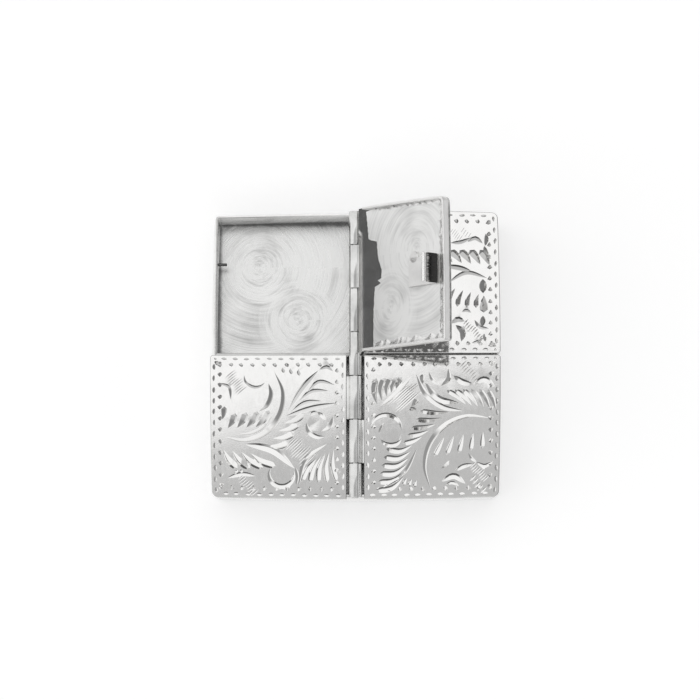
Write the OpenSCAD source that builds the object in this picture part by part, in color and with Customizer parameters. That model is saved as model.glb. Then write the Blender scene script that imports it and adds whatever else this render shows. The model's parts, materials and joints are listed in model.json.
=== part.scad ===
// Square pill box with four compartments under four lids.
// All four lids turn on one hinge pin that runs along Y over the middle of the box.
// Origin: middle of the flat bottom. +Z up, +Y along the hinge, +X to the right-hand lids.

/* [Box] */
// Width of the box across the middle of its sides
box_w = 40; // [36:0.5:46]
// How far each side stands out at its middle
side_bow = 0.35; // [0.1:0.05:0.6]
// Radius of the four upright corners of the lids
corner_r = 0.9; // [0.9:0.05:1.5]
// Thickness of the bottom plate
base_t = 0.5; // [0.4:0.05:0.8]
// Height of the top edge of the outer wall
wall_top = 6.6; // [6:0.1:9]
// Thickness of the outer wall
wall_t = 0.5; // [0.4:0.05:0.6]
// Thickness of the wall under the hinge
centre_wall_t = 1; // [0.8:0.1:1.4]
// Thickness of the walls between upper and lower compartments
cross_wall_t = 0.6; // [0.4:0.1:1]

/* [Lids] */
// Height of a lid, from its rim edge to its top face
lid_h = 1.3; // [1.2:0.05:1.6]
// Thickness of a lid's top plate
plate_t = 0.4; // [0.3:0.05:0.5]
// Thickness of a lid's rim
rim_t = 0.35; // [0.25:0.05:0.5]
// Thickness of the sheet that lines a lid
lining_t = 0.2; // [0.15:0.05:0.3]
// Distance from the hinge axis to a lid's lining
lining_start = 4; // [2.5:0.1:5]
// How much further the lining is cut back round the lid's knuckle
lining_notch = 2; // [1:0.1:3]
// Gap between an upper and a lower lid
split_gap = 0.2; // [0.1:0.05:0.4]
// Gap between a closed lid and the walls
seat_gap = 0.05; // [0.03:0.01:0.1]
// How far the lids stand out past the outer wall
lid_overhang = 0.25; // [0:0.05:0.25]
// Distance from the hinge axis to a lid's rim
rim_start = 3; // [1.5:0.1:4]
// How far the upper left lid stands open, in degrees
open_angle = 131; // [90:1:132]

/* [Hinge] */
// Length of the hinge, over all seven knuckles
hinge_l = 39.7; // [38:0.1:39.8]
// Length of each end knuckle
end_knuckle_l = 4.75; // [4:0.05:6]
// Radius of the knuckles
knuckle_r = 0.9; // [0.8:0.05:1]
// Gap between neighbouring knuckles
knuckle_gap = 0.1; // [0.06:0.02:0.2]
// Distance from the hinge axis to a lid's hinge edge
hinge_gap = 1.2; // [1.15:0.05:1.4]
// Radius of the hinge pin
pin_r = 0.4; // [0.3:0.05:0.45]
// Radial clearance of the pin in the knuckles
pin_clearance = 0.04; // [0.02:0.01:0.06]
// Clearance between the turning knuckles and the wall under them
saddle_gap = 0.15; // [0.1:0.05:0.2]

/* [Catches] */
// Distance of a catch from the middle of the box, along the hinge
catch_y = 10; // [9:0.1:11]
// Width of a catch
catch_w = 4; // [3:0.5:5]
// Thickness of a catch's spring sheet
catch_t = 0.3; // [0.2:0.05:0.35]
// How far a catch's leaf reaches down from the lining
catch_drop = 2.7; // [2:0.1:3]
// Length of a catch's foot, soldered to the lining
catch_foot_l = 6; // [5:0.5:7]
// Distance from the outer wall to a catch's leaf
catch_setback = 1.05; // [1:0.05:1.3]
// Radius of the round lug at a catch's foot
lug_r = 0.8; // [0.5:0.1:1]
// Distance from the foot's end to the middle of the lug
lug_inset = 1; // [0.8:0.1:1.5]
// Radius of the bead at the leaf's tip
bead_r = 0.3; // [0.2:0.05:0.35]
// Distance of a peg from the middle of the box, along the hinge
peg_y = 13; // [12:0.1:14]
// Length of a peg on the wall
peg_l = 1.2; // [0.8:0.1:1.3]
// Radius of a peg
peg_r = 0.2; // [0.15:0.05:0.3]
// Height of the pegs above the table
peg_z = 3.6; // [3:0.1:3.8]

/* [Hidden] */
$fn = 64;

half = box_w / 2;
wall_in = lid_overhang + wall_t;
axis_z = wall_top + seat_gap + lid_h;
plate_z = axis_z - plate_t;
lining_z = plate_z - lining_t;
saddle_z = axis_z - knuckle_r - saddle_gap;
bore_r = pin_r + pin_clearance;
mid_knuckle_l = (hinge_l - 2 * end_knuckle_l) / 5;
leaf_x = half - wall_in - catch_setback;

// The sides are arcs of radius side_r, centred side_off from the middle of the box.
// The corner arcs touch them, centred corner_c from the middle along X and along Y.
side_r = (half * half + side_bow * side_bow) / (2 * side_bow);
side_off = half - side_r;
reach = side_r - corner_r;
corner_c = (side_off + sqrt(2 * reach * reach - side_off * side_off)) / 2;
side_angle = atan2(corner_c, corner_c - side_off);
side_steps = 12;
corner_steps = 6;

// Each lid: side (-1 left, 1 right), row (1 upper, -1 lower), its knuckle's place, opening.
upper_left = [-1, 1, 1, open_angle];
upper_right = [1, 1, 2, 0];
lower_left = [-1, -1, 4, 0];
lower_right = [1, -1, 5, 0];

// Points along an arc, without its last point
function arc(c, r, a0, a1, n) =
    [for (i = [0:n - 1]) let (a = a0 + (a1 - a0) * i / n) c + r * [cos(a), sin(a)]];

// A point turned by k quarter turns
function quarter(p, k) = k == 0 ? p : quarter([-p[1], p[0]], k - 1);

// The box's outline, a distance inset inside the lids' outer faces
function outline(inset) = [
    for (k = [0:3])
        for (p = concat(
            arc([side_off, 0], side_r - inset, -side_angle, side_angle, side_steps),
            arc([corner_c, corner_c], corner_r - inset, side_angle, 90 - side_angle, corner_steps)
        )) quarter(p, k)
];

// Inner face of the outer wall at a distance y from the middle of a side
function wall_face(y) = side_off + sqrt(pow(side_r - wall_in, 2) - y * y);

// Knuckles are numbered 0 to 6 from the upper end of the hinge
function knuckle_l(i) = i == 0 || i == 6 ? end_knuckle_l : mid_knuckle_l;
function knuckle_y(i) = i == 0 ? (hinge_l - end_knuckle_l) / 2
    : i == 6 ? -(hinge_l - end_knuckle_l) / 2
    : (3 - i) * mid_knuckle_l;

// Puts a shape made for the upper right quarter in a lid's quarter
module to_quarter(lid) {
    mirror([lid[0] < 0 ? 1 : 0, 0, 0])
        mirror([0, lid[1] < 0 ? 1 : 0, 0])
            children();
}

// Does the same, and turns the shape about the hinge by the lid's opening
module to_lid(lid) {
    translate([0, 0, axis_z])
        rotate([0, -lid[0] * lid[3], 0])
            translate([0, 0, -axis_z])
                to_quarter(lid)
                    children();
}

// A lid's flat shape: inset from the outer sides and from the split, x0 from the hinge axis
module lid_shape(inset, x0) {
    intersection() {
        polygon(outline(inset));
        translate([x0, split_gap / 2 + inset])
            square(box_w);
    }
}

// A round rod along the hinge
module rod(l, r) {
    rotate([90, 0, 0])
        cylinder(h = l, r = r, center = true);
}

module base_plate() {
    color("lightgray")
        linear_extrude(base_t)
            polygon(outline(lid_overhang));
}

module outer_wall() {
    color("silver")
        translate([0, 0, base_t])
            linear_extrude(wall_top - base_t)
                difference() {
                    polygon(outline(lid_overhang));
                    polygon(outline(wall_in));
                }
}

// Wall under the hinge, with its top edge just below the turning knuckles
module centre_wall() {
    color("silver")
        translate([0, 0, base_t])
            linear_extrude(saddle_z - base_t)
                intersection() {
                    polygon(outline(wall_in));
                    square([centre_wall_t, box_w], center = true);
                }
}

module cross_wall(side) {
    color("silver")
        translate([0, 0, base_t])
            linear_extrude(wall_top - base_t)
                intersection() {
                    polygon(outline(wall_in));
                    translate([side * (box_w + centre_wall_t) / 2, 0])
                        square([box_w, cross_wall_t], center = true);
                }
}

// Knuckle fixed to the wall under the hinge by a foot
module base_knuckle(i) {
    foot_h = knuckle_r / 2 + saddle_gap;
    color("gainsboro")
        translate([0, knuckle_y(i), 0])
            difference() {
                union() {
                    translate([0, 0, axis_z])
                        rod(knuckle_l(i) - knuckle_gap, knuckle_r);
                    translate([0, 0, saddle_z + foot_h / 2])
                        cube([centre_wall_t, knuckle_l(i) - knuckle_gap, foot_h], center = true);
                }
                translate([0, 0, axis_z])
                    rod(box_w, bore_r);
            }
}

module hinge_pin() {
    color("gray")
        translate([0, 0, axis_z])
            rod(hinge_l, pin_r);
}

// Peg on the outer wall, beside the lid's catch
module peg(lid) {
    color("gray")
        to_quarter(lid)
            translate([wall_face(peg_y) - peg_l, peg_y, peg_z])
                rotate([0, 90, 0])
                    cylinder(h = peg_l, r = peg_r);
}

module lid_plate(lid) {
    color("whitesmoke")
        to_lid(lid)
            translate([0, 0, plate_z])
                linear_extrude(plate_t)
                    lid_shape(0, hinge_gap);
}

// Rim on a lid's three free sides
module lid_rim(lid) {
    color("silver")
        to_lid(lid)
            translate([0, 0, axis_z - lid_h])
                linear_extrude(lid_h - plate_t)
                    difference() {
                        lid_shape(0, rim_start);
                        lid_shape(rim_t, 0);
                    }
}

// Brushed sheet inside a lid, cut back round the lid's knuckle
module lid_lining(lid) {
    notch_l = mid_knuckle_l + 2 * rim_t;
    color("lightgray")
        to_lid(lid)
            translate([0, 0, lining_z])
                linear_extrude(lining_t)
                    difference() {
                        lid_shape(rim_t, lining_start);
                        translate([0, lid[1] * knuckle_y(lid[2]) - notch_l / 2])
                            square([lining_start + lining_notch, notch_l]);
                    }
}

// Knuckle with the strap that joins it to its lid's plate
module lid_knuckle(lid) {
    strap_x = (bore_r + knuckle_r) / 2;
    strap_l = mid_knuckle_l - knuckle_gap;
    color("gainsboro")
        to_lid(lid)
            translate([0, lid[1] * knuckle_y(lid[2]), axis_z])
                difference() {
                    union() {
                        rod(strap_l, knuckle_r);
                        translate([strap_x, -strap_l / 2, -plate_t])
                            cube([hinge_gap - strap_x, strap_l, plate_t]);
                    }
                    rod(box_w, bore_r);
                }
}

// Spring catch: a foot on the lining, and a leaf with a bead that reaches into the box
module lid_catch(lid) {
    color("gray")
        to_lid(lid)
            translate([leaf_x, catch_y, lining_z]) {
                translate([-catch_foot_l, -catch_w / 2, -catch_t])
                    cube([catch_foot_l, catch_w, catch_t]);
                translate([-catch_t, -catch_w / 2, -catch_drop])
                    cube([catch_t, catch_w, catch_drop]);
                translate([-catch_t / 2, 0, -catch_drop])
                    rod(catch_w, bead_r);
                translate([lug_inset - catch_foot_l, catch_w / 2, -catch_t])
                    cylinder(h = catch_t, r = lug_r);
            }
}

base_plate();
outer_wall();
centre_wall();
cross_wall(-1);  // cross_wall_left
cross_wall(1);  // cross_wall_right
base_knuckle(0);  // base_knuckle_upper
base_knuckle(3);  // base_knuckle_middle
base_knuckle(6);  // base_knuckle_lower
hinge_pin();
peg(upper_left);  // peg_upper_left
peg(upper_right);  // peg_upper_right
peg(lower_left);  // peg_lower_left
peg(lower_right);  // peg_lower_right
lid_plate(upper_left);  // upper_left_lid_plate
lid_rim(upper_left);  // upper_left_lid_rim
lid_lining(upper_left);  // upper_left_lid_lining
lid_knuckle(upper_left);  // upper_left_lid_knuckle
lid_catch(upper_left);  // upper_left_lid_catch
lid_plate(upper_right);  // upper_right_lid_plate
lid_rim(upper_right);  // upper_right_lid_rim
lid_lining(upper_right);  // upper_right_lid_lining
lid_knuckle(upper_right);  // upper_right_lid_knuckle
lid_catch(upper_right);  // upper_right_lid_catch
lid_plate(lower_left);  // lower_left_lid_plate
lid_rim(lower_left);  // lower_left_lid_rim
lid_lining(lower_left);  // lower_left_lid_lining
lid_knuckle(lower_left);  // lower_left_lid_knuckle
lid_catch(lower_left);  // lower_left_lid_catch
lid_plate(lower_right);  // lower_right_lid_plate
lid_rim(lower_right);  // lower_right_lid_rim
lid_lining(lower_right);  // lower_right_lid_lining
lid_knuckle(lower_right);  // lower_right_lid_knuckle
lid_catch(lower_right);  // lower_right_lid_catch
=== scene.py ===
"""Looks of the square silver pill box: engraved lids, brushed insides, hinge, catches.

Lengths are millimetres in the box's own frame, turned into metres when a mesh is made.
"""
import json
import math
import random

import bmesh
import bpy
import numpy as np
from mathutils import Matrix, Vector, noise
from mathutils.geometry import delaunay_2d_cdt


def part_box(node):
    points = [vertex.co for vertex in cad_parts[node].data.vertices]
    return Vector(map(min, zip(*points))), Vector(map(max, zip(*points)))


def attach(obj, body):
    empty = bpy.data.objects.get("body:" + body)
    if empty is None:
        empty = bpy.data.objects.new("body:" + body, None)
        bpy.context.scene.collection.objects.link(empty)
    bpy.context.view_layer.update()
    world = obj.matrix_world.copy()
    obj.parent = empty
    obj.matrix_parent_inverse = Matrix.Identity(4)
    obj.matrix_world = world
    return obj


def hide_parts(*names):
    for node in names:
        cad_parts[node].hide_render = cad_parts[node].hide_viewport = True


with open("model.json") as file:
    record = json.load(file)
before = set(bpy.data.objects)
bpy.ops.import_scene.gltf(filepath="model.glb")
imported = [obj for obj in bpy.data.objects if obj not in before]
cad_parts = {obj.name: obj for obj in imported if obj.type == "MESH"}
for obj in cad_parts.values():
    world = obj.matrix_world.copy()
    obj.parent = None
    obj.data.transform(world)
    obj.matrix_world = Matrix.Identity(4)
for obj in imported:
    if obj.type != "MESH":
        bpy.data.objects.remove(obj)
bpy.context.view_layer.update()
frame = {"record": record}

MM = 0.001


# ---------------------------------------------------------------- sizes from the frame

def node_box(node):
    """A CAD node's lowest and highest corner in millimetres."""
    low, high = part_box(node)
    return [v / MM for v in low], [v / MM for v in high]


def hinge_range(lid):
    """The lower and upper limit of a lid's hinge, in degrees."""
    for joint in frame["record"]["behaviour"]["joints"]:
        if joint["child"] == lid + "_lid":
            return joint["range_deg"]


low, high = node_box("lower_right_lid_plate")
HALF = high[0]          # middle of the box to a lid's outer side
HINGE_GAP = low[0]      # hinge axis to a lid's hinge edge
SPLIT = -high[1]        # middle of the box to a lid's split side
PLATE_Z = low[2]
TOP_Z = high[2]         # top of the closed lids, and the height of the hinge axis
low, high = node_box("lower_right_lid_rim")
RIM_Z = low[2]
RIM_START = low[0]
low, high = node_box("lower_right_lid_lining")
LINING_Z = low[2]
RIM_T = low[1] + HALF
low, high = node_box("outer_wall")
WALL_OUT = high[0]
WALL_TOP = high[2]
BASE_T = low[2]
low, high = node_box("cross_wall_right")
WALL_IN = high[0]       # a cross wall ends at the outer wall's inner face
CROSS_T = high[1] - low[1]
low, high = node_box("centre_wall")
CENTRE_T = high[0] - low[0]
SADDLE_Z = high[2]
low, high = node_box("hinge_pin")
PIN_R = (high[0] - low[0]) / 2
HINGE_L = high[1] - low[1]
low, high = node_box("base_knuckle_middle")
KNUCKLE_R = high[0]
low, high = node_box("upper_right_lid_catch")
CATCH_T = 0.3           # sheet of the spring catch
BEAD_R = 0.3            # bead rolled at the catch's tip
LUG_R = 0.8             # round lug at the catch's foot
FOOT_X = low[0]
LUG_X = FOOT_X + 1
BEAD_X = high[0] - BEAD_R
BEAD_Z = low[2] + BEAD_R
CATCH_NEAR = low[1]
CATCH_FAR = high[1] - LUG_R
OPEN = -hinge_range("upper_left")[0]    # how far the open lid stands open, in degrees

OVERHANG = HALF - WALL_OUT
SIDE_BOW = 0.35         # how far a side stands out at its middle
CORNER_R = 0.9          # the box's upright corners
SPLIT_R = 0.4           # a lid's corner where it meets the next lid
SIDE_R = (HALF ** 2 + SIDE_BOW ** 2) / (2 * SIDE_BOW)
SIDE_OFF = HALF - SIDE_R
REACH = SIDE_R - CORNER_R
CORNER_C = (SIDE_OFF + math.sqrt(2 * REACH ** 2 - SIDE_OFF ** 2)) / 2
SIDE_ANGLE = math.atan2(CORNER_C, CORNER_C - SIDE_OFF)

LIDS = {"upper_left": (-1, 1), "upper_right": (1, 1), "lower_left": (-1, -1), "lower_right": (1, -1)}


# ---------------------------------------------------------------- outlines

def arc(centre, radius, start, end, count):
    """Points on an arc, both ends included."""
    angles = [start + (end - start) * i / count for i in range(count + 1)]
    return [(centre[0] + radius * math.cos(a), centre[1] + radius * math.sin(a)) for a in angles]


def side_at(along, inset):
    """Distance from the middle of the box to its bowed side."""
    return SIDE_OFF + math.sqrt((SIDE_R - inset) ** 2 - along ** 2)


def box_outline(inset):
    """The whole box's outline, counter-clockwise."""
    side = arc((SIDE_OFF, 0), SIDE_R - inset, -SIDE_ANGLE, SIDE_ANGLE, 24)[:-1]
    corner = arc((CORNER_C, CORNER_C), CORNER_R - inset, SIDE_ANGLE, math.pi / 2 - SIDE_ANGLE, 8)[:-1]
    points = []
    quarter = side + corner
    for _ in range(4):
        points += quarter
        quarter = [(-y, x) for x, y in quarter]
    return points


def lid_path(inset, x0):
    """A lid's free sides in the upper right quarter, split side first, as far as x0 from the hinge."""
    steps = 30
    split_y = SPLIT + inset
    turn = SPLIT + SPLIT_R
    turn_x = side_at(turn, 0) - SPLIT_R
    path = [(x0 + (turn_x - x0) * i / steps, split_y) for i in range(steps)]
    path += arc((turn_x, turn), SPLIT_R - inset, -math.pi / 2, 0, 5)
    end_y = (SIDE_R - inset) * math.sin(SIDE_ANGLE)
    path += [(side_at(y, inset), y) for y in np.linspace(turn, end_y, steps + 2)[1:-1]]
    path += arc((CORNER_C, CORNER_C), CORNER_R - inset, SIDE_ANGLE, math.pi / 2 - SIDE_ANGLE, 8)
    path += [(x, side_at(x, inset)) for x in np.linspace(end_y, x0, steps + 2)[1:]]
    return path


# ---------------------------------------------------------------- mesh helpers

def lid_matrix(lid):
    """Turns a lid from its closed place to where it rests."""
    if lid != "upper_left":
        return Matrix.Identity(4)
    axis = Matrix.Translation((0, 0, TOP_Z))
    return axis @ Matrix.Rotation(math.radians(OPEN), 4, "Y") @ axis.inverted()


def in_quarter(lid, points):
    """Mirrors points made in the upper right quarter into a lid's own quarter."""
    sx, sy = LIDS[lid]
    return [(sx * p[0], sy * p[1], *p[2:]) for p in points]


def make_piece(name, verts, faces, materials, body, nodes, lid=None, sharp=25, face_slots=None):
    """A mesh object from millimetre points: welded, normals outwards, on its body."""
    mesh = bpy.data.meshes.new(name)
    mesh.from_pydata([[c * MM for c in v] for v in verts], [], faces)
    for material in materials:
        mesh.materials.append(material)
    if face_slots:
        mesh.polygons.foreach_set("material_index", face_slots)
    bm = bmesh.new()
    bm.from_mesh(mesh)
    bmesh.ops.remove_doubles(bm, verts=bm.verts, dist=0.0005 * MM)
    bmesh.ops.recalc_face_normals(bm, faces=bm.faces)
    bm.to_mesh(mesh)
    bm.free()
    flat = np.zeros(len(mesh.vertices) * 3, np.float32)
    mesh.vertices.foreach_get("co", flat)
    mesh.attributes.new("place", "FLOAT_VECTOR", "POINT").data.foreach_set("vector", flat)
    if lid:
        turn = lid_matrix(lid)
        turn.translation *= MM
        mesh.transform(turn)
    mesh.shade_smooth()
    mesh.set_sharp_from_angle(angle=math.radians(sharp))
    piece = bpy.data.objects.new(name, mesh)
    bpy.context.scene.collection.objects.link(piece)
    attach(piece, body)
    if nodes:
        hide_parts(*nodes)
    return piece


def join_rings(rings, closed_ring=True, closed_rows=False):
    """Quads between rings of equally many points."""
    count = len(rings[0])
    verts = [v for ring in rings for v in ring]
    faces = []
    rows = len(rings) if closed_rows else len(rings) - 1
    steps = count if closed_ring else count - 1
    for r in range(rows):
        a, b = r * count, (r + 1) % len(rings) * count
        for i in range(steps):
            j = (i + 1) % count
            faces.append((a + i, a + j, b + j, b + i))
    return verts, faces


def capped(rings):
    """A closed skin from rings, with a face over the first one and the last one."""
    verts, faces = join_rings(rings)
    count = len(rings[0])
    faces.append(tuple(reversed(range(count))))
    faces.append(tuple(range(len(verts) - count, len(verts))))
    return verts, faces


def strip(rows):
    """A closed skin from rows of points that run along it, with a face over each end."""
    verts, faces = join_rings(rows, closed_ring=False, closed_rows=True)
    starts = [len(rows[0]) * k for k in range(len(rows))]
    faces.append(tuple(starts))
    faces.append(tuple(start + len(rows[0]) - 1 for start in reversed(starts)))
    return verts, faces


def turned(profile, count, place):
    """A round part from its radii and heights; place says where a point of it comes to lie."""
    turns = [2 * math.pi * i / count for i in range(count)]
    return capped([[place(r * math.cos(a), r * math.sin(a), up) for a in turns] for r, up in profile])


def bevelled_box(name, low, high, bevel, material, body, nodes):
    """A block with rounded edges."""
    bm = bmesh.new()
    bmesh.ops.create_cube(bm, size=1)
    size = [h - l for l, h in zip(low, high)]
    middle = [(h + l) / 2 for l, h in zip(low, high)]
    bmesh.ops.scale(bm, vec=size, verts=bm.verts)
    bmesh.ops.translate(bm, vec=middle, verts=bm.verts)
    bmesh.ops.bevel(bm, geom=bm.edges[:], offset=bevel, segments=3, profile=0.5, affect="EDGES")
    verts = [v.co[:] for v in bm.verts]
    faces = [[v.index for v in f.verts] for f in bm.faces]
    bm.free()
    return make_piece(name, verts, faces, [material], body, nodes, sharp=40)


# ---------------------------------------------------------------- materials

SILVER = (0.93, 0.925, 0.915, 1)
RUBBED_SILVER = (0.95, 0.95, 0.94, 1)
# near black for painted shade on the inner walls, and for tarnish with painted shade in the engraved cuts
SHADE_AND_TARNISH_DARK = (0.1, 0.1, 0.1, 1)
SWIRLS = ((0.67 * HALF, 0.65 * HALF), (0.4 * HALF, 0.28 * HALF))     # middles of the rubbed arcs
SWIRL_REACH = 5.5       # where the second swirl starts to give way to the first, blotches added


class Nodes:
    """Short calls for building a node tree."""

    def __init__(self, tree):
        self.tree = tree

    def fill(self, socket, value):
        """Links a socket to another one, or sets its value."""
        if isinstance(value, bpy.types.NodeSocket):
            self.tree.links.new(value, socket)
        else:
            socket.default_value = value

    def add(self, kind, inputs, **settings):
        node = self.tree.nodes.new(kind)
        for name, value in settings.items():
            setattr(node, name, value)
        for name, value in inputs.items():
            self.fill(node.inputs[name], value)
        return node

    def maths(self, operation, a, b=0.0):
        return self.add("ShaderNodeMath", {0: a, 1: b}, operation=operation).outputs[0]

    def times(self, a, b):
        return self.maths("MULTIPLY", a, b)

    def plus(self, a, b):
        return self.maths("ADD", a, b)

    def minus(self, a, b):
        return self.maths("SUBTRACT", a, b)

    def larger(self, a, b):
        return self.maths("MAXIMUM", a, b)

    def unsigned(self, a):
        return self.maths("ABSOLUTE", a)

    def vector_maths(self, operation, a, b=(0, 0, 0)):
        return self.add("ShaderNodeVectorMath", {0: a, 1: b}, operation=operation).outputs

    def parts(self, vector):
        """A vector's x, y and z."""
        return self.add("ShaderNodeSeparateXYZ", {0: vector}).outputs

    def remap(self, value, from_min, from_max, to_min=0.0, to_max=1.0):
        node = self.add("ShaderNodeMapRange", {
            "Value": value, "From Min": from_min, "From Max": from_max,
            "To Min": to_min, "To Max": to_max})
        return node.outputs["Result"]

    def noise(self, vector, scale, detail=2.0, roughness=0.5, distortion=0.0):
        node = self.add("ShaderNodeTexNoise", {
            "Vector": vector, "Scale": scale, "Detail": detail,
            "Roughness": roughness, "Distortion": distortion})
        return node.outputs["Fac"]

    def scaled(self, vector, scale):
        return self.add("ShaderNodeMapping", {"Vector": vector, "Scale": scale}).outputs["Vector"]

    def mixed(self, factor, a, b):
        """A colour between two others."""
        return self.add("ShaderNodeMix", {0: factor, 6: a, 7: b}, data_type="RGBA").outputs[2]


def metal(name):
    """An empty silver material: its nodes, its shader and each point's place on the closed box."""
    material = bpy.data.materials.new(name)
    material.use_nodes = True
    nodes = Nodes(material.node_tree)
    shader = material.node_tree.nodes["Principled BSDF"]
    shader.inputs["Metallic"].default_value = 1.0
    where = nodes.add("ShaderNodeAttribute", {}, attribute_name="place").outputs["Vector"]
    return material, nodes, shader, where


def surface(nodes, shader, colour, roughness, strength, relief, height):
    """Gives a shader its colour, its roughness and a relief that is so many millimetres high."""
    nodes.fill(shader.inputs["Base Color"], colour)
    nodes.fill(shader.inputs["Roughness"], roughness)
    bump = nodes.add("ShaderNodeBump", {"Strength": strength, "Distance": relief * MM, "Height": height})
    nodes.fill(shader.inputs["Normal"], bump.outputs["Normal"])


def shades(nodes, factor, shade, colour=SILVER):
    """A colour that varies from a darker shade of the metal's own to its own."""
    dark = tuple(c * shade for c in colour[:3]) + (1,)
    return nodes.mixed(factor, dark, colour)


def painted_wall_shade(nodes, where, colour):
    """Painted shade: darkens a colour on the inner faces of the walls, most low down, where shade falls in
    the compartments.
    """
    x, y, z = nodes.parts(where)
    out = nodes.larger(nodes.unsigned(x), nodes.unsigned(y))
    inside = nodes.remap(out, (WALL_IN + 0.07) * MM, (WALL_IN + 0.03) * MM)
    low_down = nodes.remap(z, BASE_T * MM, WALL_TOP * MM, 1, 0.45)
    uneven = nodes.remap(nodes.noise(where, 350, 3, 0.6), 0.3, 0.7, 0.75, 1)
    amount = nodes.times(nodes.times(inside, low_down), uneven)
    return nodes.mixed(nodes.times(amount, 0.85), colour, SHADE_AND_TARNISH_DARK)


def cut_tarnish_and_shade(nodes, where, colour):
    """Darkens the engraved cuts: a little tarnish in every cut, and painted shade that grows towards the
    back left corner of the box.
    """
    x, y, z = nodes.parts(where)
    sunk = nodes.remap(z, (TOP_Z - 0.01) * MM, (TOP_Z - 0.05) * MM)
    backwards = nodes.plus(y, nodes.times(x, -0.35))
    amount = nodes.remap(backwards, -0.35 * HALF * MM, -0.05 * HALF * MM, 0.04, 0.45)
    return nodes.mixed(nodes.times(sunk, amount), colour, SHADE_AND_TARNISH_DARK)


def polished_silver(name, gloss, scratch, shade, grain=(1, 1, 1), colour=SILVER, ageing_and_shade=None):
    """Polished sterling: soft cloudy tarnish, uneven gloss and fine hairline scratches."""
    material, nodes, shader, where = metal(name)
    clouds = nodes.noise(where, 260, 4, 0.6)
    tint = shades(nodes, nodes.remap(clouds, 0.3, 0.6), shade, colour)
    # the darkening passed in here paints shade on the inner walls, and tarnish with painted shade into the
    # engraved cuts
    if ageing_and_shade:
        tint = ageing_and_shade(nodes, where, tint)
    rubbed = nodes.noise(nodes.scaled(where, (3, 1, 1)), 900, 5, 0.7, 0.4)
    hair = nodes.noise(nodes.scaled(where, grain), 5200, 3, 0.6)
    surface(nodes, shader, tint, nodes.remap(rubbed, 0.3, 0.7, *gloss), scratch, 0.01, hair)
    return material


def ring_scratches(nodes, where, centre, seed):
    """Scratches in arcs about a centre with a painted sheen fanned twice round it, mirrored into each
    quarter: about 0 to 1, and the radius.
    """
    x, y = centre
    folded = nodes.vector_maths("ABSOLUTE", where)["Vector"]
    shifted = nodes.vector_maths("SUBTRACT", folded, (x * MM, y * MM, 0))["Vector"]
    radius = nodes.vector_maths("LENGTH", nodes.scaled(shifted, (1, 1, 0)))["Value"]
    across, along, _ = nodes.parts(shifted)
    turn = nodes.maths("ARCTAN2", along, across)
    polar = nodes.add("ShaderNodeCombineXYZ", {
        "X": nodes.times(radius, 3 / MM), "Y": nodes.times(turn, 1.1), "Z": seed}).outputs[0]
    fine = nodes.times(nodes.noise(polar, 1.0, 2, 0.6), 0.55)
    broad = nodes.times(nodes.noise(polar, 0.3, 1, 0.5), 0.35)
    # painted highlight: a faint bright and dark fan, twice round each centre, stands in for the sheen of
    # brushed metal
    painted_sheen = nodes.times(nodes.maths("COSINE", nodes.plus(nodes.times(turn, 2.0), seed)), 0.06)
    return nodes.plus(nodes.plus(fine, broad), painted_sheen), radius


def wall_foot_shade(nodes, where):
    """Painted shade on the floor at the foot of each wall: 0.8 at the wall, 0 out on the floor."""
    x, y, _ = nodes.parts(where)
    across, along = nodes.unsigned(x), nodes.unsigned(y)
    ragged = nodes.times(nodes.noise(where, 900, 3, 0.6), 0.5 * MM)
    out = nodes.plus(nodes.larger(across, along), ragged)
    nearest = nodes.remap(out, (HALF - 1.15) * MM, (HALF - 0.75) * MM)
    for off, thickness in ((across, CENTRE_T), (along, CROSS_T)):
        face = thickness / 2
        near = nodes.remap(nodes.minus(off, ragged), (face + 0.3) * MM, face * MM)
        nearest = nodes.larger(nearest, near)
    return nodes.times(nearest, 0.8)


def solder_edge(nodes, where):
    """A thin broken line of flux residue beside the solder on a lining's outer side, from 0 to 1."""
    x, _, _ = nodes.parts(where)
    ragged = nodes.times(nodes.noise(where, 700, 3, 0.6), 0.6 * MM)
    line = (HALF - RIM_T - 0.95) * MM
    away = nodes.unsigned(nodes.minus(nodes.plus(nodes.unsigned(x), ragged), line))
    broken = nodes.remap(nodes.noise(where, 500, 2, 0.5), 0.35, 0.6, 0.3, 1)
    return nodes.times(nodes.remap(away, 0.12 * MM, 0.03 * MM), broken)


def brushed_silver(name, gloss, shade, relief, stain_and_shade, stain_and_shade_colour):
    """Silver rubbed by hand with grit: arcs about two centres that overlap, and a dark mark: flux residue on
    a lining, painted shade by the walls on the floor.
    """
    material, nodes, shader, where = metal(name)
    blotch = nodes.noise(where, 190, 3, 0.5)
    outer, _ = ring_scratches(nodes, where, SWIRLS[0], 0.0)
    inner, radius = ring_scratches(nodes, where, SWIRLS[1], 7.3)
    edge = nodes.plus(radius, nodes.times(blotch, 4 * MM))
    inside = nodes.remap(edge, (SWIRL_REACH + 2.5) * MM, SWIRL_REACH * MM)
    value = nodes.plus(nodes.times(inner, inside), nodes.times(outer, nodes.minus(1.0, inside)))
    tint = nodes.plus(nodes.times(value, 0.7), nodes.times(blotch, 0.3))
    tint = shades(nodes, nodes.remap(tint, 0.15, 0.5), shade, RUBBED_SILVER)
    # the dark mark mixed in here is flux residue on a lining and painted shade on the floor
    tint = nodes.mixed(stain_and_shade(nodes, where), tint, stain_and_shade_colour)
    surface(nodes, shader, tint, nodes.remap(value, 0.35, 0.65, *gloss), relief, 0.02, value)
    return material


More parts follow.
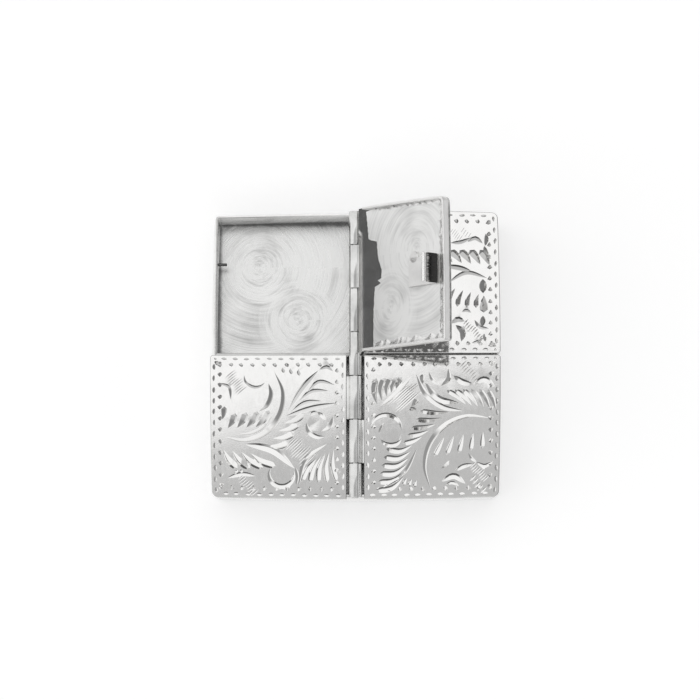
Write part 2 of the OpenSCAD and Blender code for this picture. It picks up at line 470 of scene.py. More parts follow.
def painted_shade_silver(name):
    """Painted shade on the spring catch: nearly black from its root down, bright only near its bead."""
    material, nodes, shader, where = metal(name)
    height = nodes.parts(where)["Z"]
    streaks = nodes.noise(nodes.scaled(where, (1, 5, 0.2)), 800, 3, 0.6)
    level = nodes.plus(height, nodes.times(nodes.minus(streaks, 0.5), 1.2 * MM))
    unshaded = nodes.remap(level, (BEAD_Z + 0.8) * MM, (BEAD_Z + 0.2) * MM)
    surface(nodes, shader, shades(nodes, unshaded, 0.05), nodes.remap(streaks, 0.3, 0.7, 0.12, 0.3),
            0.3, 0.03, streaks)
    return material


def solder_silver(name):
    """Solder run along a seam: duller, lumpy and pitted."""
    material, nodes, shader, where = metal(name)
    lumps = nodes.noise(where, 1500, 4, 0.6)
    surface(nodes, shader, shades(nodes, nodes.remap(lumps, 0.3, 0.65), 0.8),
            nodes.remap(lumps, 0.3, 0.7, 0.22, 0.4), 0.5, 0.08, lumps)
    return material


# ---------------------------------------------------------------- engraving

CUT_SLOPE = 0.55        # depth of a cut for each millimetre of its half width
CUT_MAX = 0.22          # deepest cut
BREADTH = 1.4           # every cut is this many times as wide as its design says
CUT_SKEW = 0.35         # how far a cut's bottom lies to one side, as a share of its half width
STATION = 0.4           # between one station along a cut and the next


def spline(points, count):
    """Points along a smooth curve through a few control points."""
    pts = [Vector(p) for p in points]
    if len(pts) == 2:
        return [pts[0].lerp(pts[1], i / count) for i in range(count + 1)]
    ends = [2 * pts[0] - pts[1]] + pts + [2 * pts[-1] - pts[-2]]
    curve = []
    for i in range(count + 1):
        at = i / count * (len(pts) - 1)
        k = min(int(at), len(pts) - 2)
        t = at - k
        a, b, c, d = ends[k:k + 4]
        curve.append(0.5 * (2 * b + (c - a) * t + (2 * a - 5 * b + 4 * c - d) * t ** 2
                            + (3 * b - a - 3 * c + d) * t ** 3))
    return curve


def swing(start, end, bow, width, kind="line"):
    """A cut between two points along a bowed line; the bow is a share of its length, to the left."""
    a, b = Vector(start), Vector(end)
    run = b - a
    middle = a.lerp(b, 0.5) + Vector((-run.y, run.x)) * bow
    return (kind, width, [tuple(a), tuple(middle), tuple(b)])


def scroll(centre, radius, start, end, width, grow=0.0):
    """A cut that curls round a centre from one bearing to another, in degrees."""
    steps = max(3, round(abs(end - start) / 30))
    points = []
    for i in range(steps + 1):
        t = i / steps
        turn = math.radians(start + (end - start) * t)
        reach = radius + grow * t
        points.append((centre[0] + reach * math.cos(turn), centre[1] + reach * math.sin(turn)))
    return ("line", width, points)


def leaf(count, first, last, bearings, lengths, width, bow=0.08):
    """Flutes whose tails stand in a row; their bearings and lengths change evenly along it."""
    cuts = []
    for i in range(count):
        t = i / (count - 1)
        tail = Vector(first).lerp(Vector(last), t)
        turn = math.radians(bearings[0] + (bearings[1] - bearings[0]) * t)
        length = lengths[0] + (lengths[1] - lengths[0]) * t
        head = tail + Vector((math.cos(turn), math.sin(turn))) * length
        cuts.append(swing(head, tail, bow, width, "flute"))
    return cuts


def hatch(count, centre, bearing, length, spread, width=0.13):
    """A patch of fine parallel cuts about a centre."""
    turn = math.radians(bearing)
    along = Vector((math.cos(turn), math.sin(turn)))
    across = Vector((-along.y, along.x))
    cuts = []
    for i in range(count):
        drift = 0.12 * math.sin(5 * i) * length
        middle = Vector(centre) + across * spread * (i / (count - 1) - 0.5) + along * drift
        cuts.append(swing(middle - along * length / 2, middle + along * length / 2, 0.01, width))
    return cuts


def lower_left_design():
    """A big scroll over lobes, a plume on a long stem, flutes round a hatched band and two curls."""
    return [
        scroll((4.2, 14), 5.9, 38, -114, 0.55),
        scroll((4.2, 14), 5.1, -25, -95, 0.3),
        scroll((6.3, 17), 1.6, 175, 325, 0.35),
        scroll((5.8, 14.9), 2.5, 25, -72, 0.5, 0.5),
        *leaf(4, (2.5, 9.8), (6.3, 9.9), (65, 52), (2.3, 3), 0.72),
        swing((2, 12.8), (1.7, 11), 0.05, 0.6, "flute"),
        swing((1, 16), (2.9, 13.7), 0.3, 0.35),
        *hatch(10, (3.5, 16), 40, 2, 2.8),
        *leaf(3, (10, 18.2), (12.2, 18), (-70, -80), (0.8, 1), 0.4),
        swing((10.7, 12), (15, 17.8), 0.05, 0.55),
        swing((15, 17.8), (17, 17.6), 0.25, 0.4),
        swing((13.3, 14.7), (17.2, 15.7), 0.25, 0.4),
        swing((12.1, 13.4), (16.4, 14.9), 0.16, 0.4),
        swing((11.2, 12.1), (15.4, 13.5), 0.12, 0.4),
        swing((10.4, 11.4), (17.5, 13.2), 0.03, 0.5),
        *leaf(4, (10.2, 10.4), (7.9, 7.3), (25, 8), (3.1, 3.1), 0.62),
        scroll((15.2, 10.4), 1.9, 175, 290, 0.5),
        scroll((15, 11.2), 1.9, 5, -80, 0.45),
        swing((13.6, 11.4), (14.8, 12), 0.1, 0.4),
        swing((14.8, 12), (16, 10.8), 0.05, 0.4),
        *hatch(12, (12.4, 6.6), 45, 2.6, 3.6),
        swing((4.8, 7.6), (11.7, 4.2), 0.12, 0.75),
        swing((11.8, 4.4), (11.9, 1.9), 0.08, 0.35),
        *leaf(4, (1.9, 6.8), (5.6, 6.3), (-53, -27), (3.2, 3.9), 0.7),
        scroll((9.9, 3.5), 1.75, 150, 375, 0.5),
        swing((3.4, 3.4), (3.9, 4.1), 0, 0.3),
        swing((4.1, 4.1), (4.6, 3.6), 0, 0.3),
        swing((2.4, 2.9), (6.4, 3.2), 0.1, 0.45),
        *hatch(10, (5.2, 2.1), 40, 1.5, 3.2),
        swing((16.1, 7.6), (12.2, 1.8), -0.17, 0.45),
        *leaf(5, (14.7, 5.6), (17, 6.8), (-122, -84), (3.8, 4.4), 0.52),
    ]


def lower_right_design():
    """A feather and a hatched band, two stems under a leaf, a long fringe and an arc round drops."""
    return [
        *leaf(5, (1.8, 13), (4.4, 15.2), (92, 62), (3.7, 1.8), 0.6, -0.1),
        swing((6.6, 16.9), (1.9, 12.5), 0.03, 0.4),
        *hatch(8, (5.6, 14.2), 43, 4.2, 2.1, 0.17),
        swing((7.4, 13.9), (6.5, 12.7), 0, 0.5, "flute"),
        swing((6.2, 12.3), (7.3, 12.3), 0.1, 0.4, "flute"),
        scroll((13.5, 18.6), 6.5, 192, 272, 0.55),
        swing((8.4, 16), (13.1, 13.2), -0.17, 0.65),
        swing((8, 17.2), (8, 15.8), 0, 0.5, "flute"),
        swing((8.9, 17.5), (10.5, 15.6), -0.12, 0.35),
        swing((11.6, 18), (10.6, 15.6), 0.22, 0.45),
        swing((12.3, 17), (15, 15.8), -0.1, 0.6),
        swing((15, 15.8), (18, 15.5), 0.28, 0.6),
        *hatch(9, (14.6, 17.3), 43, 1.6, 3.2),
        *leaf(6, (14, 13), (18.1, 12.3), (143, 112), (3.3, 3), 0.5, 0.06),
        scroll((3, 9.4), 2.2, 165, 0, 0.45),
        scroll((3.7, 9.1), 1.7, 212, 330, 0.5),
        swing((2.7, 10.5), (2, 9.1), 0, 0.3),
        *leaf(5, (11.7, 12), (8, 8.6), (178, 200), (4, 2.9), 0.5, -0.05),
        *leaf(6, (6.6, 7.4), (5.4, 3), (188, 206), (3.6, 4.2), 0.58, -0.15),
        swing((7.3, 7), (2.3, 1.4), 0.12, 0.35),
        *leaf(3, (5.9, 2.9), (7.2, 2.6), (-115, -105), (1.2, 1), 0.35),
        scroll((15.2, 4.6), 6.9, 72, 208, 0.5),
        *leaf(5, (11, 8.5), (16.3, 9.3), (-117, -92), (3, 2.4), 0.45, 0),
        swing((14.3, 6.3), (15.5, 5), -0.08, 0.3),
        swing((15.3, 5.1), (17.7, 5.2), -0.25, 0.4),
        swing((12.4, 3.8), (15, 4.8), 0.08, 0.45),
        *hatch(9, (15.8, 3.7), 45, 1.3, 2.6),
        swing((11.7, 5.3), (10.6, 4.2), 0.1, 0.35),
        swing((10.6, 2.4), (13.9, 2.1), 0.28, 0.6),
        swing((11.2, 2), (13, 1.8), 0.2, 0.35),
        *hatch(5, (15.6, 2), 45, 1.2, 2.2, 0.2),
    ]


def upper_right_design():
    """Flutes over a dome of ribs, a hatched corner and a crescent; at its hinge a plume and a curl."""
    return [
        *hatch(6, (12.7, 16.4), 55, 1.2, 1.6),
        *hatch(4, (14.1, 16.7), 55, 0.9, 1.2),
        swing((11.9, 15.3), (14.8, 16), -0.08, 0.42),
        swing((14.2, 15.4), (16.4, 15.2), 0.3, 0.45),
        swing((16.8, 16.6), (16.7, 14.9), 0.1, 0.45),
        swing((16.6, 14.9), (17.2, 13.6), -0.1, 0.4),
        *leaf(5, (12.2, 12.6), (17.3, 12.2), (137, 122), (2.4, 2.5), 0.8, 0.05),
        swing((11, 12.1), (14.8, 11.4), 0.03, 0.55),
        swing((11.5, 9.7), (17, 10.4), 0.2, 0.45),
        swing((16.4, 10.3), (16.4, 8.3), 0, 0.75),
        swing((16.5, 5.6), (16.5, 8), 0, 0.85, "flute"),
        *leaf(4, (12.6, 9), (15.8, 8.2), (-114, -100), (2.7, 2), 0.5),
        swing((13.4, 5.7), (14.8, 5.6), 0.2, 0.35),
        swing((12, 4.1), (13.9, 4.4), 0.22, 0.6),
        swing((12.6, 3.9), (13.4, 1.6), 0.25, 0.6),
        *hatch(9, (15, 3.2), 45, 1.1, 3),
        swing((15.2, 4.6), (17.2, 3.4), -0.2, 0.4),
        swing((16.4, 5.2), (16.3, 3.7), 0, 0.55),
        swing((16.5, 2.7), (16.7, 1.6), 0, 0.35),
        swing((14.8, 1.4), (16.4, 2.1), -0.1, 0.35),
        swing((10, 4), (1.5, 9), 0.2, 0.5),
        *leaf(6, (4, 7.5), (8.5, 5), (-110, -120), (5, 2), 0.6),
        *leaf(7, (5.5, 10.5), (9, 11), (125, 95), (7, 6), 0.6),
        scroll((3.5, 10.5), 2, 180, -60, 0.5),
        *hatch(9, (9, 16.3), 50, 2.2, 2.5),
    ]


DASH_PITCH = 1.55       # between one border cut and the next
DASH_ROWS = ((0.55, 0.85, 0.3, "line"), (1.35, 0.65, 0.48, "flute"))     # inset, length, width, kind


def walk(path, distance):
    """The point at a distance along a path."""
    for a, b in zip(path, path[1:]):
        step = math.dist(a, b)
        if distance <= step:
            return Vector(a).lerp(Vector(b), distance / step)
        distance -= step
    return Vector(path[-1])


def border(lid):
    """Two rows of short cuts inside a lid's edges: long dashes outside, wedges inside."""
    rng = random.Random(lid)
    sx, sy = LIDS[lid]
    cuts = []
    for inset, length, width, kind in DASH_ROWS:
        path = lid_path(inset, HINGE_GAP + inset)
        path.append(path[0])
        run = sum(math.dist(a, b) for a, b in zip(path, path[1:]))
        count = round(run / DASH_PITCH)
        for i in range(count):
            middle = run * (i + 0.5 + rng.uniform(-0.06, 0.06)) / count
            a = walk(path, middle - length / 2)
            b = walk(path, middle + length / 2)
            b = b + Vector((b.y - a.y, a.x - b.x)) * rng.uniform(-0.02, 0.16)
            cuts.append((kind, width * rng.uniform(0.85, 1.1), [(sx * a.x, sy * a.y), (sx * b.x, sy * b.y)]))
    return cuts


def upside_down(cuts, height):
    """The same design with its top at the bottom."""
    return [(kind, width, [(x, height - y) for x, y in points]) for kind, width, points in cuts]


def lid_cuts(lid):
    """Every cut of a closed lid, in the box's own plan."""
    sx, sy = LIDS[lid]
    corner = Vector((HINGE_GAP if sx > 0 else -HALF, SPLIT if sy > 0 else -HALF))
    designs = {"lower_left": lower_left_design, "lower_right": lower_right_design,
               "upper_right": upper_right_design}
    if lid in designs:
        cuts = designs[lid]()
    else:
        cuts = upside_down(lower_left_design(), HALF - SPLIT)
    placed = [(k, w, [tuple(Vector(p) + corner) for p in points]) for k, w, points in cuts]
    return placed + border(lid)


class Cut:
    """One engraved cut: its stations, half widths and the line of its bottom."""

    def __init__(self, kind, width, points):
        length = sum(math.dist(a, b) for a, b in zip(points, points[1:]))
        count = max(5, round(length / STATION))
        self.line = spline(points, count)
        self.half = [width * BREADTH / 2 * self.profile(kind, i / count) for i in range(count + 1)]
        self.side = []
        for i in range(count + 1):
            run = (self.line[min(i + 1, count)] - self.line[max(i - 1, 0)]).normalized()
            self.side.append(Vector((-run.y, run.x)))
        self.low = Vector((min(p.x for p in self.line) - width, min(p.y for p in self.line) - width))
        self.high = Vector((max(p.x for p in self.line) + width, max(p.y for p in self.line) + width))

    @staticmethod
    def profile(kind, t):
        """A cut's width along it, as a share of its widest; a flute is widest near its head."""
        if kind == "line":
            return max(0.0, 1 - abs(2 * t - 1) ** 2.4)
        return math.sin(math.pi * t ** 0.55) ** 0.75 if 0 < t < 1 else 0.0

    def edges(self):
        """The cut's two edges and its bottom, as open lines that share both ends."""
        offsets = []
        for share in (1, -1, CUT_SKEW):
            offsets.append([p + s * h * share for p, s, h in zip(self.line, self.side, self.half)])
        return offsets

    def depth(self, x, y):
        """How deep the cut is at a point."""
        best, found = 1e9, 0.0
        for a, b, ha, hb in zip(self.line, self.line[1:], self.half, self.half[1:]):
            run = b - a
            length = run.length_squared
            if length < 1e-9:
                continue
            t = min(max(((x - a.x) * run.x + (y - a.y) * run.y) / length, 0), 1)
            dx, dy = x - a.x - run.x * t, y - a.y - run.y * t
            away = dx * dx + dy * dy
            if away < best:
                best = away
                half = ha + (hb - ha) * t
                side = (-run.y * dx + run.x * dy) / math.sqrt(length)
                bottom = half * CUT_SKEW
                wall = half - bottom if side > bottom else half + bottom
                share = 1 - abs(side - bottom) / wall if wall > 1e-6 else 0
                found = max(0.0, share) * min(half * CUT_SLOPE, CUT_MAX)
        return found


def engrave(outline, cuts):
    """A flat face inside an outline with V-shaped cuts in it: points with depths, and triangles."""
    shapes = [Cut(*cut) for cut in cuts]
    points = [Vector(p) for p in outline]
    count = len(points)
    lines = [(i, (i + 1) % count) for i in range(count)]
    for shape in shapes:
        tip, tail = len(points), len(points) + 1
        points += [shape.line[0], shape.line[-1]]
        for edge in shape.edges():
            chain = [tip, *range(len(points), len(points) + len(edge) - 2), tail]
            points += edge[1:-1]
            lines += list(zip(chain, chain[1:]))
    verts, _, faces, *_ = delaunay_2d_cdt(points, lines, [], 1, 0.0008)
    deep = []
    for v in verts:
        near = [s.depth(v.x, v.y) for s in shapes if s.low.x < v.x < s.high.x and s.low.y < v.y < s.high.y]
        deep.append(max(near, default=0.0))
    return [(v.x, v.y, -d) for v, d in zip(verts, deep)], faces


# ---------------------------------------------------------------- lids

def lid_plate(lid, metals):
    """A lid's plate: rounded top edge and an engraved top face."""
    body = lid + "_lid"
    soft = 0.1
    levels = ((0, PLATE_Z), (0, TOP_Z - soft), (soft * 0.3, TOP_Z - soft * 0.3), (soft, TOP_Z))
    rings = []
    for inset, z in levels:
        outline = in_quarter(lid, lid_path(inset, HINGE_GAP + inset))
        rings.append([(x, y, z) for x, y in outline])
    verts, faces = join_rings(rings)
    count = len(rings[0])
    faces.append(tuple(reversed(range(count))))
    edge_faces = len(faces)
    top, triangles = engrave([p[:2] for p in rings[-1]], lid_cuts(lid))
    first = len(verts)
    verts += [(x, y, TOP_Z + z) for x, y, z in top]
    faces += [tuple(first + i for i in t) for t in triangles]
    slots = [1] * edge_faces + [0] * len(triangles)
    slots[count * (len(levels) - 1)] = 2
    make_piece(body + "_plate_engraved", verts, faces, [metals["engraved"], metals["edge"], metals["inner"]],
               body, [body + "_plate"], lid, 12, slots)


def lid_rim(lid, metals):
    """The strip on a lid's three free sides, with rounded edges."""
    body = lid + "_lid"
    r = 0.07
    profile = ((0, PLATE_Z), (0, RIM_Z + r), (r * 0.3, RIM_Z + r * 0.3), (r, RIM_Z),
               (RIM_T - r, RIM_Z), (RIM_T - r * 0.3, RIM_Z + r * 0.3), (RIM_T, RIM_Z + r), (RIM_T, PLATE_Z))
    rows = []
    for inset, z in profile:
        rows.append([(x, y, z) for x, y in in_quarter(lid, lid_path(inset, RIM_START))])
    verts, faces = strip(rows)
    make_piece(body + "_rim_strip", verts, faces, [metals["rim"]], body,
               [body + "_rim"], lid, 40)


def lining_edge(lid):
    """The cut hinge edge of a lid's lining, from the far side to the split side: place, height."""
    if lid == "upper_left":
        edge = [(3, 19.4), (3.5, 15.5), (4, 15.3), (5.2, 15), (5.4, 13), (6.2, 11), (6.1, 9.9), (5.4, 9.6),
                (6, 9.2), (4.8, 8.8), (4.5, 5), (4.5, 0.6)]
    else:
        edge = [(3.2, 19.4), (3.6, 15.3), (5.3, 15), (6, 11), (5.6, 8.8), (4.4, 8.6), (4.2, 0.6)]
    points = []
    rng = random.Random(lid)
    for a, b in zip(edge, edge[1:]):
        steps = max(1, round(math.dist(a, b) / 0.4))
        for i in range(steps):
            x, y = Vector(a).lerp(Vector(b), i / steps)
            points.append((x + rng.uniform(-0.06, 0.06), y))
    return points + [edge[-1]]


def inwards(outline, distance):
    """An outline moved inwards, corner by corner; it may turn either way."""
    count = len(outline)
    area = sum(a[0] * b[1] - b[0] * a[1] for a, b in zip(outline, outline[1:] + outline[:1]))
    hand = 1 if area > 0 else -1
    moved = []
    for i in range(count):
        run = Vector(outline[(i + 1) % count]) - Vector(outline[i - 1])
        run.normalize()
        moved.append((outline[i][0] - hand * run.y * distance, outline[i][1] + hand * run.x * distance))
    return moved


def lid_lining(lid, metals):
    """The brushed sheet inside a lid, with its raggedly cut hinge edge and a burr along it."""
    body = lid + "_lid"
    soft = 0.05
    edge = lining_edge(lid)
    split_x = edge[-1][0]
    outline = in_quarter(lid, lid_path(RIM_T, split_x) + edge)
    verts, faces = capped([[(x, y, PLATE_Z) for x, y in outline],
                           [(x, y, LINING_Z + soft) for x, y in outline],
                           [(x, y, LINING_Z) for x, y in inwards(outline, soft)]])
    slots = [1] * (len(faces) - 1) + [0]
    make_piece(body + "_lining_sheet", verts, faces, [metals["lining"], metals["burr"]], body,
               [body + "_lining"], lid, 30, slots)


def solder_run(name, lid, path, width, height, layer, metals):
    """A lumpy fillet of solder along a path on a lid's lining; each layer has its own lumps."""
    root = LINING_Z + 0.05
    rows = []
    for k in range(5):
        t = k / 4
        row = []
        for i, (x, y) in enumerate(path):
            before, after = Vector(path[max(i - 1, 0)]), Vector(path[min(i + 1, len(path) - 1)])
            run = (after - before).normalized()
            spot = Vector((x * 1.3, y * 1.3, layer))
            swell = 1 + 0.5 * noise.noise(spot) + 0.25 * noise.noise(spot * 2)
            reach = width * t * swell
            rise = height * (1 - t) ** 1.5 * (1 + 0.5 * noise.noise(spot))
            row.append((x - run.y * reach, y + run.x * reach, LINING_Z - rise + 0.02))
        rows.append(row)
    rows.append([(x, y, root) for x, y, _ in rows[-1]])
    rows.append([(x, y, root) for x, y in path])
    verts, faces = strip(rows)
    make_piece(name, in_quarter(lid, verts), faces, [metals["solder"]], lid + "_lid",
               [], lid, 35)


def lid_solder(lid, metals):
    """Solder inside the rim, along a lid's split side, outer side and far side."""
    whole = lid_path(RIM_T, 5)
    split = [p for p in whole if p[1] < SPLIT + RIM_T + 0.02]
    side = [p for p in whole if p[0] > HALF - 1 and 1 < p[1] < HALF - 1]
    far = [p for p in whole if p[1] > HALF - 1 and p[0] < HALF - 1]
    runs = (("split", split, 0.9, 0.3, 7), ("side", side, 1.25, 0.45, 0), ("far", far, 0.4, 0.25, 0))
    for name, path, width, height, layer in runs:
        solder_run(lid + "_lid_solder_" + name, lid, resample(path, 0.15), width, height, layer, metals)


def resample(path, step):
    """Points at even steps along a path."""
    run = sum(math.dist(a, b) for a, b in zip(path, path[1:]))
    count = round(run / step)
    return [tuple(walk(path, run * i / count * 0.9999)) for i in range(count + 1)]


def thicken(path, thickness):
    """A closed outline half a thickness to each side of an open path."""
    left, right = [], []
    for i, p in enumerate(path):
        before, after = Vector(path[max(i - 1, 0)]), Vector(path[min(i + 1, len(path) - 1)])
        run = (after - before).normalized()
        side = Vector((-run.y, run.x)) * thickness / 2
        left.append(tuple(Vector(p) + side))
        right.append(tuple(Vector(p) - side))
    return left + right[::-1]


def catch_leaf(lid, metals):
    """The spring catch's strip: its foot lies on the lining, then it bends down to its tip."""
    body = lid + "_lid"
    bend, soft = 0.5, 0.06
    foot_z = LINING_Z - CATCH_T / 2
    path = [(FOOT_X + (BEAD_X - bend - FOOT_X) * i / 12, foot_z) for i in range(12)]
    path += arc((BEAD_X - bend, foot_z - bend), bend, math.pi / 2, 0, 8)
    drop = foot_z - bend - BEAD_Z - 0.5
    path += [(BEAD_X, foot_z - bend - drop * i / 10) for i in range(1, 11)]
    outline = thicken(path, CATCH_T)
    rings = []
    for inset, y in ((soft, CATCH_NEAR), (0, CATCH_NEAR + soft), (0, CATCH_FAR - soft), (soft, CATCH_FAR)):
        ring = inwards(outline, inset) if inset else outline
        rings.append([(x, y, z) for x, z in ring])
    verts, faces = capped(rings)
    bent = [min(verts[i][2] for i in face) < LINING_Z - CATCH_T - soft for face in faces[:-2]]
    make_piece(body + "_catch_leaf", in_quarter(lid, verts), faces, [metals["foot"], metals["catch"]], body,
               [body + "_catch"], lid, 35, [int(b) for b in bent] + [1, 1])


def catch_bead(lid, metals):
    """The bead rolled at the spring catch's tip."""
    r, soft = BEAD_R, 0.1
    profile = ((r * 0.6, CATCH_NEAR), (r, CATCH_NEAR + soft), (r, CATCH_FAR - soft), (r * 0.6, CATCH_FAR))
    verts, faces = turned(profile, 24, lambda x, z, y: (BEAD_X + x, y, BEAD_Z + z))
    make_piece(lid + "_lid_catch_bead", in_quarter(lid, verts), faces, [metals["catch"]], lid + "_lid",
               [], lid, 35)


def catch_lug(lid, metals):
    """The round lug beside the spring catch's foot."""
    soft = 0.06
    end = LINING_Z - CATCH_T
    profile = ((LUG_R, LINING_Z), (LUG_R, end + soft), (LUG_R - soft, end))
    verts, faces = turned(profile, 24, lambda x, y, z: (LUG_X + x, CATCH_FAR + y, z))
    make_piece(lid + "_lid_catch_lug", in_quarter(lid, verts), faces, [metals["foot"]], lid + "_lid",
               [], lid, 35)


# ---------------------------------------------------------------- hinge

BORE_R = PIN_R + 0.04


def lid_knuckle_reach(angle):
    """How far a lid's knuckle reaches from the axis: a tube with a strap level with the lid."""
    strap_t = TOP_Z - PLATE_Z
    flare = 24              # degrees over which the strap's top runs up into the tube
    a = (math.degrees(angle) + 180) % 360 - 180
    if -math.degrees(math.atan2(strap_t, HINGE_GAP)) <= a <= 0:
        return HINGE_GAP / math.cos(math.radians(a))
    if -math.degrees(math.asin(strap_t / KNUCKLE_R)) <= a < 0:
        return strap_t / math.sin(math.radians(-a))
    if 0 < a < flare:
        return KNUCKLE_R + (HINGE_GAP - KNUCKLE_R) * (1 - a / flare) ** 2.5
    return KNUCKLE_R


def base_knuckle_reach(angle):
    """How far a base knuckle reaches: a tube with a foot that stands on the centre wall."""
    foot_w, foot_z = CENTRE_T / 2, TOP_Z - SADDLE_Z
    off = abs((math.degrees(angle) + 90 + 180) % 360 - 180)
    if off <= math.degrees(math.atan2(foot_w, foot_z)):
        return foot_z / math.cos(math.radians(off))
    if off < 90:
        return max(KNUCKLE_R, foot_w / math.sin(math.radians(off)))
    return KNUCKLE_R


def knuckle(node, reach, side, body, lid, metals):
    """One tube of the hinge, rounded at its ends and bored for the pin."""
    low, high = node_box(node)
    y0, y1 = low[1], high[1]
    count, soft = 144, 0.07
    turns = [2 * math.pi * i / count for i in range(count)]
    outer = [reach(a) for a in turns]
    rings = []
    for share, y in ((0.92, y0), (0.975, y0 + soft * 0.3), (1, y0 + soft), (1, y1 - soft),
                     (0.975, y1 - soft * 0.3), (0.92, y1)):
        rings.append([(side * r * share * math.cos(a), y, TOP_Z + r * share * math.sin(a))
                      for r, a in zip(outer, turns)])
    for y in (y1, y0):
        rings.append([(side * BORE_R * math.cos(a), y, TOP_Z + BORE_R * math.sin(a)) for a in turns])
    verts, faces = join_rings(rings, closed_rows=True)
    make_piece(node + "_tube", verts, faces, [metals["hinge"]], body, [node], lid, 30)


def pin(metals):
    """The hinge's pin, with domed ends."""
    dome, quarter = 0.12, 4
    profile = []
    for k in range(quarter + 1):
        turn = math.sin(math.pi / 2 * k / quarter)
        profile.append((PIN_R * turn + 0.01, -HINGE_L / 2 + dome * (1 - turn)))
    profile += [(r, -y) for r, y in reversed(profile)]
    verts, faces = turned(profile, 40, lambda x, z, y: (x, y, TOP_Z + z))
    make_piece("hinge_pin_rod", verts, faces, [metals["hinge"]], "base",
               ["hinge_pin"], None, 30)


def hinge(metals):
    """The whole barrel: three tubes on the box, one on each lid, and the pin."""
    for place in ("upper", "middle", "lower"):
        knuckle("base_knuckle_" + place, base_knuckle_reach, 1, "base", None, metals)
    for lid, (sx, _) in LIDS.items():
        knuckle(lid + "_lid_knuckle", lid_knuckle_reach, sx, lid + "_lid", lid, metals)
    pin(metals)


# ---------------------------------------------------------------- box

def ringed(levels):
    """Rings of the box's outline at insets and heights."""
    return [[(x, y, z) for x, y in box_outline(inset)] for inset, z in levels]


def bottom(metals):
    """The bottom plate, with a rolled lower edge and a brushed floor."""
    roll = 0.25
    verts, faces = capped(ringed(((OVERHANG + roll, 0), (OVERHANG + 0.08, 0.07), (OVERHANG, roll),
                                  (OVERHANG, BASE_T))))
    slots = [1] * (len(faces) - 1) + [0]
    make_piece("base_plate_sheet", verts, faces, [metals["floor"], metals["edge"]], "base",
               ["base_plate"], None, 35, slots)


def walls(metals):
    """The outer wall, with a rounded top edge, and the three walls inside it."""
    soft = 0.1
    out, back = OVERHANG, HALF - WALL_IN
    rings = ringed(((out, BASE_T), (out, WALL_TOP - soft), (out + soft * 0.3, WALL_TOP - soft * 0.3),
                    (out + soft, WALL_TOP), (back - soft, WALL_TOP),
                    (back - soft * 0.3, WALL_TOP - soft * 0.3), (back, WALL_TOP - soft), (back, BASE_T)))
    verts, faces = join_rings(rings, closed_rows=True)
    make_piece("outer_wall_band", verts, faces, [metals["wall"]], "base",
               ["outer_wall"], None, 40)
    for node in ("centre_wall", "cross_wall_left", "cross_wall_right"):
        low, high = node_box(node)
        bevelled_box(node + "_strip", low, high, 0.08, metals["wall"], "base", [node])


def pegs(metals):
    """The four round-nosed pegs on the outer wall, each beside a closed catch's leaf."""
    for lid in LIDS:
        node = "peg_" + lid
        low, high = node_box(node)
        r = (high[2] - low[2]) / 2
        middle_y, middle_z = (low[1] + high[1]) / 2, (low[2] + high[2]) / 2
        tip, root = (high[0], low[0]) if LIDS[lid][0] < 0 else (low[0], high[0])
        way = 1 if tip > root else -1
        profile = ((r, root), (r, tip - way * 0.12), (r * 0.85, tip - way * 0.05), (r * 0.55, tip))
        verts, faces = turned(profile, 20, lambda y, z, x: (x, middle_y + y, middle_z + z))
        make_piece(node + "_pin", verts, faces, [metals["peg"]], "base", [node], None, 35)


# ---------------------------------------------------------------- surroundings

def sky():
    """Soft white light from every side, with grey and dark patches that the silver reflects."""
    world = bpy.data.worlds.new("studio")
    world.use_nodes = True
    bpy.context.scene.world = world
    nodes = Nodes(world.node_tree)
    x, y, z = nodes.parts(nodes.add("ShaderNodeTexCoord", {}).outputs["Generated"])
    slant = nodes.minus(y, nodes.plus(nodes.times(z, 0.10), nodes.times(x, 0.27)))
    right_off = nodes.unsigned(nodes.minus(z, 0.13))
    left_off = nodes.unsigned(nodes.plus(z, 0.14))
    overhead = ((slant, 0.004, -0.004), (y, -0.47, -0.43), (x, -0.47, -0.43), (x, 0.47, 0.43), (z, 0.3, 0.4))
    flank = ((x, 0.5, 0.58), (z, 0.36, 0.44), (x, 0.9, 0.8))
    lamp = ((x, -0.7, -0.85),)
    ring = ((z, 0.66, 0.34), (z, 0.02, 0.1), (x, -0.75, -0.6), (x, 0.8, 0.7))
    low_right = ((x, 0.95, 0.96), (right_off, 0.11, 0.09))
    low_left = ((x, -0.95, -0.97), (left_off, 0.07, 0.05))
    below = nodes.remap(z, 0.0, -0.6, 0.55, 0.9)
    light = nodes.mixed(nodes.remap(z, -0.02, 0.02), below, (1, 1, 1, 1))
    for level, ramps in ((0.53, overhead), (0.33, flank), (1.0, lamp), (0.1, ring),
                         (0.12, low_right), (0.11, low_left)):
        amount = 1.0
        for value, nothing, full in ramps:
            amount = nodes.times(amount, nodes.remap(value, nothing, full))
        light = nodes.mixed(amount, light, (level, level, level, 1))
    nodes.fill(world.node_tree.nodes["Background"].inputs["Color"], light)


def floor():
    """A plain pale floor under the box."""
    bpy.ops.mesh.primitive_plane_add(size=2, location=(0, 0, 0))
    plane = bpy.context.object
    plane.name = "floor"
    material = bpy.data.materials.new("pale_floor")
    material.use_nodes = True
    shader = material.node_tree.nodes["Principled BSDF"]
    shader.inputs["Base Color"].default_value = (0.85, 0.85, 0.85, 1)
    shader.inputs["Roughness"].default_value = 0.9
    shader.inputs["Specular IOR Level"].default_value = 0.0
    shader.inputs["Emission Color"].default_value = (1, 1, 1, 1)
    shader.inputs["Emission Strength"].default_value = 0.4
    plane.data.materials.append(material)
    plane.visible_glossy = False


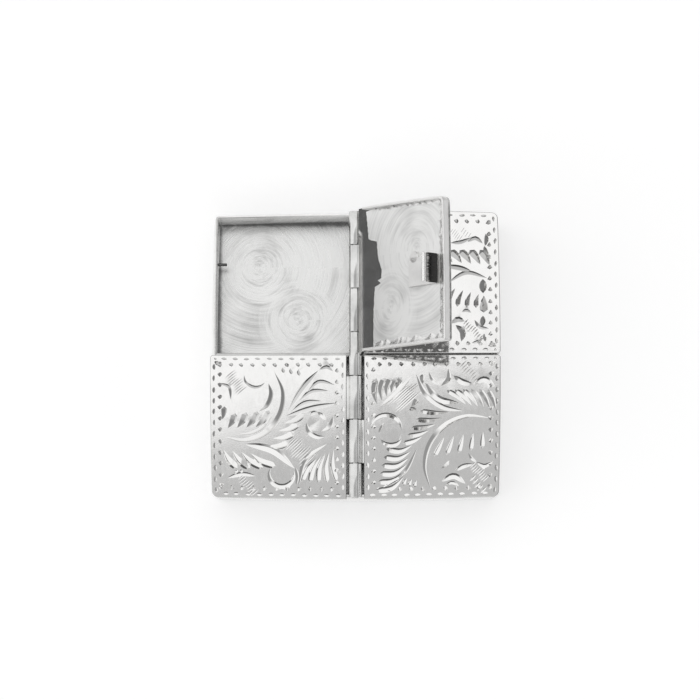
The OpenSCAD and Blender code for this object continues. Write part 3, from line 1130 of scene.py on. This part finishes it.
def camera():
    """Nearly straight down through a long lens, a little from the front and right."""
    distance, elevation, azimuth = 0.513, math.radians(83.6), math.radians(6.7)
    target = Vector((-0.73, 0.56, TOP_Z)) * MM
    back = Vector((math.sin(azimuth) * math.cos(elevation), -math.cos(azimuth) * math.cos(elevation),
                   math.sin(elevation)))
    data = bpy.data.cameras.new("camera")
    data.lens = 191.7
    data.sensor_width = 36
    eye = bpy.data.objects.new("camera", data)
    eye.location = target + back * distance
    eye.rotation_mode = "QUATERNION"
    right = Vector((0, 1, 0)).cross(back).normalized()
    up = back.cross(right)
    eye.rotation_quaternion = Matrix((right, up, back)).transposed().to_quaternion()
    bpy.context.scene.collection.objects.link(eye)
    bpy.context.scene.camera = eye


def silver_finishes():
    """Every finish on the box, by name."""
    shaded_edge_colour, black = (0.7, 0.7, 0.69, 1), (0.14, 0.14, 0.14, 1)
    barrel, upright, round_axis = (0.8, 0.8, 0.79, 1), (1, 1, 0.08), (1, 0.06, 1)
    return {
        # tarnish in the engraved cuts, with painted shade that grows towards the back left
        "engraved": polished_silver("engraved_silver", (0.03, 0.08), 0.06, 0.95, ageing_and_shade=cut_tarnish_and_shade),
        # painted shade: lid edges and the base plate's rolled edge are coloured a darker silver, giving the
        # box a darker outline
        "edge": polished_silver("edge_shaded_silver", (0.15, 0.3), 0.15, 0.7, colour=shaded_edge_colour),
        "inner": polished_silver("inner_silver", (0.03, 0.07), 0.06, 0.8),
        "rim": polished_silver("rim_silver", (0.34, 0.46), 0.3, 0.9),
        # painted shade on the walls' inner faces, darkest low down
        "wall": polished_silver("wall_shaded_silver", (0.14, 0.3), 0.3, 0.87, upright, ageing_and_shade=painted_wall_shade),
        # painted shade: the hinge is coloured a darker silver than the rest of the box
        "hinge": polished_silver("hinge_silver", (0.1, 0.2), 0.3, 0.72, round_axis, barrel),
        # painted shade: the catch's strip and bead are coloured nearly black except near the bead
        "catch": painted_shade_silver("catch_silver"),
        # painted shade: the pegs are coloured near black
        "peg": polished_silver("peg_shaded_silver", (0.2, 0.35), 0.3, 0.4, colour=black),
        "foot": polished_silver("foot_silver", (0.3, 0.42), 0.4, 0.85),
        "burr": polished_silver("burr_silver", (0.15, 0.3), 0.2, 0.9),
        # painted shade: the floor is darkened nearly to black at the foot of each wall
        "floor": brushed_silver("floor_silver", (0.2, 0.36), 0.22, 0.6, wall_foot_shade, (0.12, 0.12, 0.12, 1)),
        "lining": brushed_silver("lining_silver", (0.34, 0.46), 0.55, 0.3, solder_edge, (0.3, 0.3, 0.29, 1)),
        "solder": solder_silver("solder_silver"),
    }


metals = silver_finishes()
for lid_name in LIDS:
    lid_plate(lid_name, metals)
    lid_rim(lid_name, metals)
    lid_lining(lid_name, metals)
    lid_solder(lid_name, metals)
    catch_leaf(lid_name, metals)
    catch_bead(lid_name, metals)
    catch_lug(lid_name, metals)
hinge(metals)
bottom(metals)
walls(metals)
pegs(metals)
sky()
floor()
camera()
bpy.context.scene.view_settings.view_transform = "Standard"
